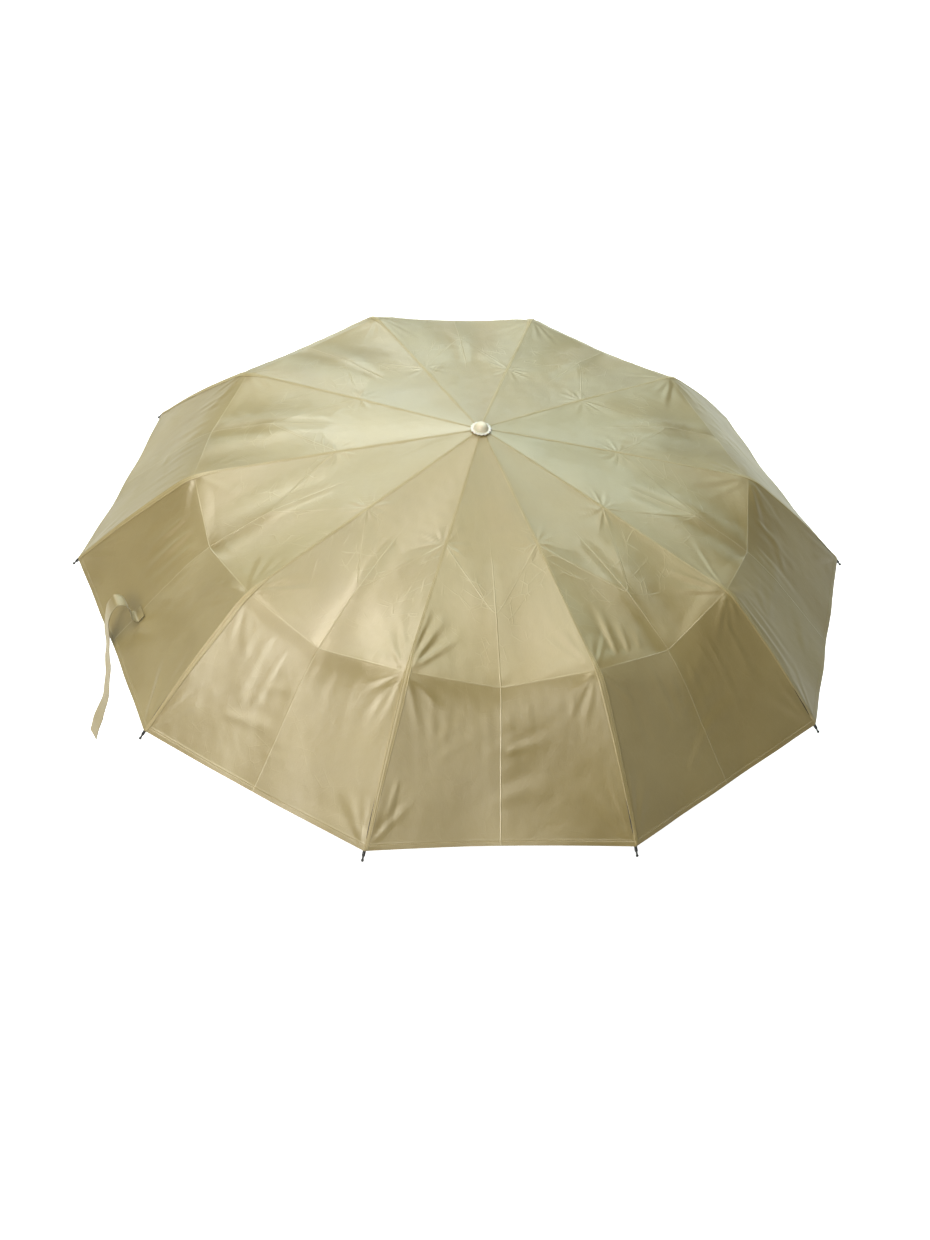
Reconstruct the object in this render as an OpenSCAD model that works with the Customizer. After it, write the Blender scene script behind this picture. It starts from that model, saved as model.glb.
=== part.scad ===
// Automatic three-fold umbrella with ten ribs, shown open, +Z up.
// Origin: centre of the handle's bottom face. Millimetres.

/* [Canopy frame] */
// Slope of the inner two rib sections below the horizontal, degrees
rib_slope = 12; // [8:0.5:16]
// Top rib, from its crown pivot to its outer pivot
top_rib_len = 172; // [165:0.5:180]
// Middle rib, pivot to pivot
middle_rib_len = 174.2; // [165:0.1:178]
// Outer rib, straight line from pivot to rod end
outer_rib_len = 222; // [200:1:230]
// Slope of that straight line below the horizontal, degrees
outer_slope = 43; // [35:1:50]
// Bend of the outer rib along its length, degrees
outer_bend = 14; // [6:1:18]
// Distance of the stretcher's pivot along the top rib
stretcher_pivot = 88; // [80:1:95]
// Fabric thickness, with its coating
fabric_t = 0.5; // [0.4:0.1:0.8]

/* [Shaft] */
// Height of the crown pivots with the shaft drawn out
crown_z = 612; // [600:1:620]
// Outside radius of the upper tube, which the runner rides on
upper_r = 6.8; // [6.7:0.1:7]
// Outside radius of the middle tube
middle_r = 5.6; // [5.4:0.05:5.7]
// Outside radius of the lower tube
lower_r = 4.4; // [4.2:0.05:4.45]
// Wall of each tube
tube_wall = 0.6; // [0.5:0.1:0.7]
// Radial clearance of a sliding fit
slide_gap = 0.06; // [0.03:0.01:0.1]

/* [Handle] */
// Length of the handle
handle_len = 85; // [82:1:86]
// Radius of the grip
grip_r = 17; // [16:0.5:18]
// Radius of the push button
button_r = 5; // [4:0.5:6]

/* [Strap] */
// Width of the tie strap
strap_w = 22; // [18:1:26]
// Length of the strap's hanging part
strap_drop = 160; // [120:5:190]

/* [Hidden] */
ribs = 10;
step_a = 360 / ribs;
pivot_r = 12; // crown pivots from the shaft's centre
runner_pivot_r = 14;
runner_closed_drop = 193; // runner pivots below the crown pivots, closed
closed_slope = 89.4; // top rib, closed
joint_h = 2.2; // a fold pivot's offset from the rib's centreline
bar_w = 3;
bar_h = 2.6;
sheet_t = 0.5; // wall of a channel rib
tab_w = 1.6;
rod_r = 1.4;
pin_r = 0.8; // fold joints
wire_r = 0.6; // crown and runner pins
pin_len = 4.6;
socket_l = 12;
eye_gap = 0.06;
side_y = 3.4; // the stretcher's plane beside the rib's plane
stretcher_w = 2.4;

u_in = [cos(rib_slope), -sin(rib_slope)];
n_in = [sin(rib_slope), cos(rib_slope)];
o_pt = [pivot_r, crown_z];
knee = o_pt + (top_rib_len + middle_rib_len) * u_in;
// the outer rib: a straight socket, then a rod on a circle
start_slope = outer_slope - outer_bend / 2;
u_out = [cos(start_slope), -sin(start_slope)];
n_out = [sin(start_slope), cos(start_slope)];
knee_pin = knee - joint_h * n_in;
hub = knee_pin + joint_h * n_out;
arc_r = (outer_rib_len - socket_l) / (2 * sin(outer_bend / 2));
// stretcher: its length from the closed pose, then the runner's height in the open one
p_closed = [pivot_r + stretcher_pivot * cos(closed_slope), -stretcher_pivot * sin(closed_slope)];
r_closed = [runner_pivot_r, -runner_closed_drop];
stretcher_len = norm(p_closed - r_closed);
p_open = o_pt + stretcher_pivot * u_in;
runner_z = p_open[1] - sqrt(pow(stretcher_len, 2) - pow(p_open[0] - runner_pivot_r, 2));
stretcher_a = atan2(p_open[1] - runner_z, p_open[0] - runner_pivot_r);

upper_z0 = 400;
upper_z1 = crown_z + 1;
middle_z0 = 244;
middle_z1 = 424;
lower_z0 = 10;
lower_z1 = 264;
bush_l = 12;
button_z = 60;

fabric_c = [0.76, 0.71, 0.55];
steel_c = [0.72, 0.72, 0.74];
dark_c = [0.16, 0.16, 0.17];
black_c = [0.05, 0.05, 0.05];

// ---- functions ----
function name(base, k) = str(base, k < 10 ? "_0" : "_", k);

// a point on the outer rib's curve, f from 0 at the socket's end to 1 at the rod's end
function arc_a(f) = start_slope + outer_bend * f;
function arc_pt(f) =
    hub + socket_l * u_out
    + arc_r * [sin(arc_a(f)) - sin(start_slope), cos(arc_a(f)) - cos(start_slope)];
function arc_n(f) = [sin(arc_a(f)), cos(arc_a(f))];

// fabric stations along a rib: [distance from the crown pivot, height above the rib's centreline]
inner_at = [
    [-6, 4.6],
    [30, 4.6],
    [80, 4.6],
    [130, 4.6],
    [top_rib_len, 4.6],
    [230, 4],
    [290, 3.2],
    [334, 2.6]
];
outer_at = [0, 0.1, 0.24, 0.4, 0.55, 0.7, 0.85, 0.97];
outer_h = 2.8;
corner_h = 2.6;
corner_n = [sin((rib_slope + start_slope) / 2), cos((rib_slope + start_slope) / 2)];
function rib_line(up) = concat(
    [for (p = inner_at) o_pt + p[0] * u_in + (p[1] + up) * n_in],
    [knee + (corner_h + up) * corner_n],
    [for (f = outer_at) arc_pt(f) + (outer_h + up) * arc_n(f)]
);
gore_steps = 4;
around = ribs * gore_steps;
hem_dip = 0.012; // how far the middle of a hem lies inside the straight line
function gore_pt(p, m) =
    let (k = floor(m / gore_steps), w = (m % gore_steps) / gore_steps)
    let (a = k * step_a, b = a + step_a)
    let (in = 1 - 4 * w * (1 - w) * hem_dip * pow(p[0] / 515, 4))
    [
        p[0] * in * (cos(a) * (1 - w) + cos(b) * w),
        p[0] * in * (sin(a) * (1 - w) + sin(b) * w),
        p[1]
    ];

// ---- helpers ----
module in_rib_plane(k, y = 0) {
    rotate([0, 0, (k - 1) * step_a])
        translate([0, y, 0])
            rotate([90, 0, 0])
                children();
}

// a flat plate of width w across the rib, centred on the plane, from a 2D outline
module plate(w) {
    translate([0, 0, -w / 2])
        linear_extrude(height = w)
            children();
}

// channel section open downwards, from x0 to x1 along the rib
module channel(x0, x1, w) {
    translate([x0, 0, 0]) {
        plate(w)
            translate([0, bar_h / 2 - sheet_t])
                square([x1 - x0, sheet_t]);
        for (side = [-1, 1])
            translate([0, 0, side * (w - sheet_t) / 2])
                plate(sheet_t)
                    translate([0, -bar_h / 2])
                        square([x1 - x0, bar_h]);
    }
}

// place children at a point of the rib plane, turned down by a slope
module along(p, slope) {
    translate([p[0], p[1], 0])
        rotate([0, 0, -slope])
            children();
}

// one short pin across each slot
module pivot_pins(at_r, z, y, r) {
    for (k = [1:ribs])
        in_rib_plane(k, y)
            translate([at_r, z, 0])
                cylinder(h = pin_len, r = r, center = true, $fn = 48);
}

module tube(r, z0, z1) {
    translate([0, 0, z0])
        difference() {
            cylinder(h = z1 - z0, r = r, $fn = 96);
            translate([0, 0, -1])
                cylinder(h = z1 - z0 + 2, r = r - tube_wall, $fn = 96);
        }
}

// ---- handle ----
module handle_grip() {
    groove_z = [for (k = [0:5]) 16 + 5 * k];
    color(black_c)
        difference() {
            rotate_extrude($fn = 120)
                polygon([
                    [lower_r + 0.02, lower_z0],
                    [lower_r + 0.02, handle_len - 8],
                    [grip_r - 3, handle_len - 8],
                    [grip_r - 1.2, handle_len - 10],
                    [grip_r, handle_len - 14],
                    [grip_r, 12],
                    [grip_r - 0.6, 6],
                    [grip_r - 1.6, 4.02],
                    [9, 4.02],
                    [9, lower_z0]
                ]);
            for (z = groove_z)
                translate([0, 0, z])
                    rotate_extrude($fn = 96)
                        translate([grip_r + 0.5, 0])
                            circle(r = 1.1, $fn = 24);
            translate([0, -grip_r + 9, button_z])
                rotate([90, 0, 0])
                    cylinder(h = 12, r = button_r + slide_gap, $fn = 64);
            translate([0, -grip_r + 1.2, button_z])
                rotate([90, 0, 0])
                    cylinder(h = 6, r = button_r + 2.02, $fn = 64);
        }
}

module handle_end_cap() {
    color(dark_c)
        rotate_extrude($fn = 120)
            polygon([
                [0, 0],
                [grip_r - 4, 0],
                [grip_r - 2.4, 0.8],
                [grip_r - 1.6, 2.2],
                [grip_r - 1.6, 4],
                [8.96, 4],
                [8.96, 8],
                [0, 8]
            ]);
}

module handle_collar() {
    z0 = handle_len - 8 + 0.02;
    color(steel_c)
        rotate_extrude($fn = 120)
            polygon([
                [lower_r + 0.02, z0],
                [grip_r - 3, z0],
                [grip_r - 2.6, z0 + 1],
                [grip_r - 2.6, handle_len - 2],
                [grip_r - 4, handle_len],
                [lower_r + 0.02, handle_len]
            ]);
}

module button_bezel() {
    color(steel_c)
        translate([0, -grip_r + 1.18, button_z])
            rotate([90, 0, 0])
                difference() {
                    cylinder(h = 1.6, r = button_r + 2, $fn = 64);
                    translate([0, 0, -1])
                        cylinder(h = 4, r = button_r + slide_gap, $fn = 64);
                }
}

module push_button() {
    color(steel_c)
        translate([0, -grip_r + 7, button_z])
            rotate([90, 0, 0])
                rotate_extrude($fn = 64)
                    polygon([
                        [0, 0],
                        [button_r, 0],
                        [button_r, 9.4],
                        [button_r - 0.8, 10],
                        [button_r - 2, 9.7],
                        [0, 9.2]
                    ]);
}

// ---- shaft ----
module lower_tube() {
    color(steel_c)
        tube(lower_r, lower_z0, lower_z1);
}

// slides inside the middle tube, fixed on the lower one's end
module lower_bush() {
    r_fit = middle_r - tube_wall - slide_gap;
    color(dark_c)
        translate([0, 0, lower_z1 - bush_l])
            difference() {
                cylinder(h = bush_l + 1.5, r = r_fit, $fn = 96);
                translate([0, 0, -1])
                    cylinder(h = bush_l + 1.02, r = lower_r + 0.02, $fn = 96);
                cylinder(h = bush_l + 4, r = 2.5, $fn = 48);
            }
}

module middle_tube() {
    color(steel_c)
        union() {
            tube(middle_r, middle_z0, middle_z1);
            translate([0, 0, middle_z0])
                difference() {
                    cylinder(h = 3, r = middle_r, $fn = 96);
                    translate([0, 0, -1])
                        cylinder(h = 5, r = lower_r + slide_gap, $fn = 96);
                }
        }
}

// slides inside the upper tube, fixed on the middle one's end
module middle_bush() {
    r_fit = upper_r - tube_wall - slide_gap;
    color(dark_c)
        translate([0, 0, middle_z1 - bush_l])
            difference() {
                cylinder(h = bush_l + 1.5, r = r_fit, $fn = 96);
                translate([0, 0, -1])
                    cylinder(h = bush_l + 1.02, r = middle_r + 0.02, $fn = 96);
                cylinder(h = bush_l + 4, r = 3.5, $fn = 48);
            }
}

module upper_tube() {
    color(steel_c)
        union() {
            tube(upper_r, upper_z0, upper_z1);
            translate([0, 0, upper_z0])
                difference() {
                    cylinder(h = 3, r = upper_r, $fn = 96);
                    translate([0, 0, -1])
                        cylinder(h = 5, r = middle_r + slide_gap, $fn = 96);
                }
        }
}

// ---- runner ----
module runner() {
    slot_w = tab_w + 0.4;
    color(black_c)
        translate([0, 0, runner_z])
            difference() {
                rotate_extrude($fn = 120)
                    polygon([
                        [upper_r + slide_gap + 0.02, -19],
                        [11.5, -19],
                        [12.5, -18],
                        [12.5, -15.5],
                        [9.2, -13],
                        [8.6, -5],
                        [10.5, -2.6],
                        [16.2, -2.6],
                        [16.6, -2],
                        [16.6, 1.8],
                        [15.8, 2.6],
                        [upper_r + slide_gap + 0.02, 2.6]
                    ]);
                for (k = [1:ribs])
                    rotate([0, 0, (k - 1) * step_a])
                        translate([12, side_y - slot_w / 2, -5])
                            cube([8, slot_w, 10]);
                pivot_pins(runner_pivot_r, 0, side_y, wire_r + 0.02);
            }
}

module runner_pins() {
    color(steel_c)
        pivot_pins(runner_pivot_r, runner_z, side_y, wire_r);
}

// ---- crown and cap ----
module crown() {
    slot_w = tab_w + 0.4;
    color(black_c)
        translate([0, 0, crown_z])
            difference() {
                rotate_extrude($fn = 120)
                    polygon([
                        [upper_r + 0.02, -9],
                        [8.4, -9],
                        [8.8, -5],
                        [14, -4],
                        [14.6, -3.2],
                        [14.6, 2],
                        [13.8, 2.8],
                        [5, 3.6],
                        [2.96, 3.6],
                        [2.96, 1.02],
                        [upper_r + 0.02, 1.02]
                    ]);
                for (k = [1:ribs])
                    rotate([0, 0, (k - 1) * step_a])
                        translate([9.9, -slot_w / 2, -10])
                            cube([8, slot_w, 20]);
                pivot_pins(pivot_r, 0, 0, wire_r + 0.02);
            }
}

module crown_pins() {
    color(steel_c)
        pivot_pins(pivot_r, crown_z, 0, wire_r);
}

module cap() {
    dome_r = 10;
    dome_h = 6.5;
    ball_r = (dome_r * dome_r + dome_h * dome_h) / (2 * dome_h);
    base = crown_z + 7.92;
    color([0.9, 0.88, 0.78])
        rotate_extrude($fn = 96)
            polygon(concat(
                [[0, crown_z + 1.1], [2.9, crown_z + 1.1], [2.9, base], [dome_r, base], [dome_r, base + 0.8]],
                [
                    for (t = [1:12])
                        let (a = asin(dome_r / ball_r) * (1 - t / 12))
                        [ball_r * sin(a), base + 0.8 + dome_h - ball_r + ball_r * cos(a)]
                ]
            ));
}

module cap_ring() {
    petals = 16;
    color([0.93, 0.93, 0.92])
        translate([0, 0, crown_z + 6.5])
            difference() {
                union() {
                    cylinder(h = 1.4, r = 12.2, $fn = 96);
                    for (k = [0:petals - 1])
                        rotate([0, 0, k * 360 / petals])
                            translate([11.6, 0, 0])
                                cylinder(h = 1.4, r = 2, $fn = 32);
                }
                translate([0, 0, -1])
                    cylinder(h = 4, r = 3, $fn = 48);
            }
}

// ---- ribs ----
// eye tab at the crown, channel, connecting rod below, tongue at the outer pivot
module top_rib(k) {
    rod_h = -3.4;
    rod_x0 = stretcher_pivot + 9;
    rod_x1 = top_rib_len - 13;
    color(steel_c)
        in_rib_plane(k)
            along(o_pt, rib_slope) {
                difference() {
                    union() {
                        plate(tab_w) {
                            circle(r = 1.5, $fn = 48);
                            translate([0, -1.2])
                                square([8, 2.4]);
                        }
                        channel(6, top_rib_len - 12, bar_w);
                        plate(tab_w) {
                            polygon([
                                [top_rib_len - 16, -bar_h / 2],
                                [top_rib_len - 16, bar_h / 2],
                                [top_rib_len - 6, bar_h / 2],
                                [top_rib_len - 1.7, joint_h + 0.6],
                                [top_rib_len + 1.6, joint_h - 0.8],
                                [top_rib_len - 4, -bar_h / 2]
                            ]);
                            translate([top_rib_len, joint_h])
                                circle(r = 1.8, $fn = 48);
                        }
                        translate([stretcher_pivot, 0, -bar_w / 2 - 0.6])
                            cylinder(h = 0.8, r = 2, $fn = 48);
                        translate([rod_x0, rod_h, 0])
                            rotate([0, 90, 0])
                                cylinder(h = rod_x1 - rod_x0, r = 0.7, $fn = 24);
                        for (x = [rod_x0, rod_x1 - 3])
                            plate(bar_w)
                                translate([x, rod_h - 1])
                                    square([3, 4.4]);
                    }
                    cylinder(h = 9, r = wire_r + eye_gap, center = true, $fn = 48);
                    translate([top_rib_len, joint_h, 0])
                        cylinder(h = 9, r = pin_r + eye_gap, center = true, $fn = 48);
                }
            }
}

// lies beside the rib, from the runner to the top rib
module stretcher(k) {
    far = stretcher_len;
    color(steel_c)
        in_rib_plane(k, side_y)
            along([runner_pivot_r, runner_z], -stretcher_a)
                difference() {
                    union() {
                        plate(tab_w) {
                            circle(r = 1.6, $fn = 48);
                            translate([0, -1.2])
                                square([10, 2.4]);
                        }
                        channel(8, far - 6, stretcher_w);
                        translate([0, 0, stretcher_w / 2 - tab_w / 2])
                            plate(tab_w) {
                                translate([far - 9, -1.2])
                                    square([9, 2.4]);
                                translate([far, 0])
                                    circle(r = 2, $fn = 48);
                            }
                        translate([far, 0, -stretcher_w / 2])
                            cylinder(h = 1.4, r = 1.3, $fn = 48);
                    }
                    cylinder(h = 9, r = wire_r + eye_gap, center = true, $fn = 48);
                }
}

// two cheeks with the pin at the inner end, channel, tongue at the knee
module middle_rib(k) {
    cheek_in = tab_w / 2 + 0.2;
    w = 2 * (cheek_in + sheet_t);
    far = middle_rib_len;
    color(steel_c)
        in_rib_plane(k)
            along(o_pt + top_rib_len * u_in, rib_slope)
                difference() {
                    union() {
                        for (side = [-1, 1])
                            translate([0, 0, side * (cheek_in + sheet_t / 2)])
                                plate(sheet_t) {
                                    translate([0, joint_h])
                                        circle(r = 1.8, $fn = 48);
                                    polygon([
                                        [-1.2, joint_h - 1.3],
                                        [1.2, joint_h + 1.3],
                                        [9, bar_h / 2],
                                        [9, -bar_h / 2],
                                        [5, -bar_h / 2]
                                    ]);
                                }
                        translate([0, joint_h, 0])
                            cylinder(h = w + 0.6, r = pin_r, center = true, $fn = 48);
                        channel(7, far - 11, w);
                        plate(tab_w) {
                            polygon([
                                [far - 15, bar_h / 2],
                                [far - 15, -bar_h / 2],
                                [far - 6, -bar_h / 2],
                                [far - 1.7, -joint_h - 0.6],
                                [far + 1.6, -joint_h + 0.8],
                                [far - 4, bar_h / 2]
                            ]);
                            translate([far, -joint_h])
                                circle(r = 1.8, $fn = 48);
                        }
                    }
                    translate([far, -joint_h, 0])
                        cylinder(h = 9, r = pin_r + eye_gap, center = true, $fn = 48);
                }
}

// socket with cheeks and pin, curved rod, metal tip
module outer_rib(k) {
    cheek_in = tab_w / 2 + 0.2;
    color(dark_c)
        in_rib_plane(k) {
            along(hub, start_slope) {
                for (side = [-1, 1])
                    translate([0, 0, side * (cheek_in + sheet_t / 2)])
                        plate(sheet_t) {
                            translate([0, -joint_h])
                                circle(r = 1.8, $fn = 48);
                            polygon([
                                [-1.2, -joint_h + 1.3],
                                [1.2, -joint_h - 1.3],
                                [9, -1.2],
                                [9, 1.2],
                                [5, 1.2]
                            ]);
                        }
                translate([0, -joint_h, 0])
                    cylinder(h = 2 * (cheek_in + sheet_t) + 0.6, r = pin_r, center = true, $fn = 48);
                translate([7, 0, 0])
                    rotate([0, 90, 0])
                        cylinder(h = 12, r = 1.9, $fn = 48);
            }
            curved_rod();
            outer_tip();
        }
}

// the rod follows a circle that leaves the socket straight on
module curved_rod() {
    along(hub, start_slope)
        translate([socket_l, -arc_r, 0])
            rotate([0, 0, 90 - outer_bend])
                rotate_extrude(angle = outer_bend, $fn = 2400)
                    translate([arc_r, 0])
                        circle(r = rod_r, $fn = 24);
}

module outer_tip() {
    along(hub, start_slope)
        translate([socket_l, -arc_r, 0])
            rotate([0, 0, -outer_bend])
                translate([0, arc_r, 0])
                    rotate([0, 90, 0])
                        rotate_extrude($fn = 48)
                            polygon([
                                [0, 0.05],
                                [rod_r + 0.06, 0.05],
                                [rod_r + 0.06, -7],
                                [1.9, -7],
                                [2, 0],
                                [1.2, 1.6],
                                [1.1, 4],
                                [1.7, 5],
                                [1.8, 6.2],
                                [1.2, 7.2],
                                [0, 7.6]
                            ]);
}

// ---- fabric ----
module canopy() {
    low = rib_line(0);
    high = rib_line(fabric_t);
    n = len(low);
    pts = concat(
        [for (p = low) for (m = [0:around - 1]) gore_pt(p, m)],
        [for (p = high) for (m = [0:around - 1]) gore_pt(p, m)]
    );
    function at(sheet, j, m) = sheet * n * around + j * around + m % around;
    under = [
        for (j = [0:n - 2]) for (m = [0:around - 1])
            for (t = [
                [at(0, j, m), at(0, j + 1, m), at(0, j + 1, m + 1)],
                [at(0, j, m), at(0, j + 1, m + 1), at(0, j, m + 1)]
            ]) t
    ];
    over = [
        for (j = [0:n - 2]) for (m = [0:around - 1])
            for (t = [
                [at(1, j, m), at(1, j + 1, m + 1), at(1, j + 1, m)],
                [at(1, j, m), at(1, j, m + 1), at(1, j + 1, m + 1)]
            ]) t
    ];
    rims = [
        for (m = [0:around - 1])
            for (t = [
                [at(0, 0, m), at(0, 0, m + 1), at(1, 0, m + 1)],
                [at(0, 0, m), at(1, 0, m + 1), at(1, 0, m)],
                [at(0, n - 1, m), at(1, n - 1, m + 1), at(0, n - 1, m + 1)],
                [at(0, n - 1, m), at(1, n - 1, m), at(1, n - 1, m + 1)]
            ]) t
    ];
    color(fabric_c)
        polyhedron(points = pts, faces = concat(under, over, rims));
}

// the strap's middle line in its own vertical plane: over the hem, then down
strap_gore = 6;
strap_t = 0.8;
hem_pt = gore_pt(rib_line(fabric_t)[len(rib_line(0)) - 1], 2);
hem_r = norm([hem_pt[0], hem_pt[1]]);
hem_z = hem_pt[2];
strap_line = [
    [hem_r - 20, hem_z + 26.5],
    [hem_r - 17, hem_z + 29],
    [hem_r - 10, hem_z + 29],
    [hem_r - 2, hem_z + 24],
    [hem_r + 4, hem_z + 12],
    [hem_r + 7, hem_z - 4],
    [hem_r + 8, hem_z - 40],
    [hem_r + 5, hem_z - 90],
    [hem_r + 6, hem_z - strap_drop]
];
function away(line, j) =
    let (a = line[max(j - 1, 0)], b = line[min(j + 1, len(line) - 1)])
    let (d = (b - a) / norm(b - a))
    [-d[1], d[0]];

module in_strap_plane() {
    rotate([0, 0, (strap_gore - 0.5) * step_a])
        rotate([90, 0, 0])
            children();
}

module tie_strap() {
    n = len(strap_line);
    color(fabric_c)
        in_strap_plane()
            plate(strap_w)
                polygon(concat(
                    [for (j = [0:n - 1]) strap_line[j] + away(strap_line, j) * strap_t / 2],
                    [for (j = [n - 1:-1:0]) strap_line[j] - away(strap_line, j) * strap_t / 2]
                ));
}

module strap_fastener() {
    last = strap_line[len(strap_line) - 1];
    prev = strap_line[len(strap_line) - 2];
    d = (prev - last) / norm(prev - last);
    side = [d[1], -d[0]];
    base = last + side * (strap_t / 2 + 0.02);
    color(dark_c)
        in_strap_plane()
            plate(strap_w - 4)
                polygon([
                    base + 3 * d,
                    base + 33 * d,
                    base + 33 * d + side,
                    base + 3 * d + side
                ]);
}

handle_grip();
handle_end_cap();
handle_collar();
push_button();
button_bezel();
lower_tube();
lower_bush();
middle_tube();
middle_bush();
upper_tube();
runner();
runner_pins();
crown();
crown_pins();
cap();
cap_ring();
canopy();
tie_strap();
strap_fastener();
for (k = [1:ribs]) {
    top_rib(k);
    stretcher(k);
    middle_rib(k);
    outer_rib(k);
}
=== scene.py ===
"""Looks of the folding umbrella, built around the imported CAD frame.

Helpers work in millimetres in the row frame (z up, shaft on the z axis), and mesh() scales them to metres.
Rib k stands at azimuth 36 (k - 1) degrees, and gore g is the panel between ribs g and g + 1.
A gore is described by tau, 0 at the crown, 1 at the first rib joint, 2 at the knee and 3 at the hem, and by w,
-1 at rib g and +1 at rib g + 1. Gore coordinates are forward (out along its middle), sideways and up.
"""

import math

import bpy
import numpy as np
from mathutils import Matrix, Vector


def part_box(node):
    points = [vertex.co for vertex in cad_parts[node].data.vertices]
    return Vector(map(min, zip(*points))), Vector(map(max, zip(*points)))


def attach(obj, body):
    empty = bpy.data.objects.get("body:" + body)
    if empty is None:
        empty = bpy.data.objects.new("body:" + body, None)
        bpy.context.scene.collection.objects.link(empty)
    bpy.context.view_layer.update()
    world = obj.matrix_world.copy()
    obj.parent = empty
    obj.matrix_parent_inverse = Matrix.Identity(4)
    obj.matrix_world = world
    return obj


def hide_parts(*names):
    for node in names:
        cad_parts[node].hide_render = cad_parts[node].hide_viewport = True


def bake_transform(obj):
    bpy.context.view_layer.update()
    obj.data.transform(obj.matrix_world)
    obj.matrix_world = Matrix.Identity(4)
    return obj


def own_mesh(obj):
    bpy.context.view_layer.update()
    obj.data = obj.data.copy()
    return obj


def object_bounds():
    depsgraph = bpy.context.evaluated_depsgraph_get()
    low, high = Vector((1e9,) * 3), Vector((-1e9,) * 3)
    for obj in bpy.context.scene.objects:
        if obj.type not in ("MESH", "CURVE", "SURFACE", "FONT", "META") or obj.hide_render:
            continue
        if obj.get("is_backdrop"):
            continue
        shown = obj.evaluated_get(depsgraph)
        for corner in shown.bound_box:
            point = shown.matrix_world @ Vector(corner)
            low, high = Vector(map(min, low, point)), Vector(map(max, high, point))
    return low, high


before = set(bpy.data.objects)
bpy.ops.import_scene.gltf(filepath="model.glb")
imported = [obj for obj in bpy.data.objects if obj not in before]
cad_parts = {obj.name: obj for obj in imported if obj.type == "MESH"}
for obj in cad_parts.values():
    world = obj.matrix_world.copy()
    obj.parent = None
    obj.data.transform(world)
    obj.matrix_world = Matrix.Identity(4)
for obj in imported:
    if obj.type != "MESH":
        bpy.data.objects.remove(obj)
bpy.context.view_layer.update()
scene = bpy.context.scene
MM = 0.001
RIBS = 10
STEP = 2 * math.pi / RIBS
HALF = STEP / 2

# ---------------------------------------------------------------- camera

cam = bpy.data.cameras.new("camera")
cam.lens, cam.sensor_width, cam.sensor_fit = 70.137, 36.0, "HORIZONTAL"
cam.clip_end = 60
camera = bpy.data.objects.new("camera", cam)
scene.collection.objects.link(camera)
RIGHT = (0.99354085, -0.08138479, 0.07907647)
UP = (0.00230046, 0.71116522, 0.70302115)
BACK = (-0.11345166, -0.69829832, 0.70675893)
PLACE = (-0.2783, -1.7566, 2.0553)
camera.matrix_world = Matrix(
    [(RIGHT[i], UP[i], BACK[i], PLACE[i]) for i in range(3)] + [(0, 0, 0, 1)]
)
scene.camera = camera

# ---------------------------------------------------------------- materials


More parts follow.
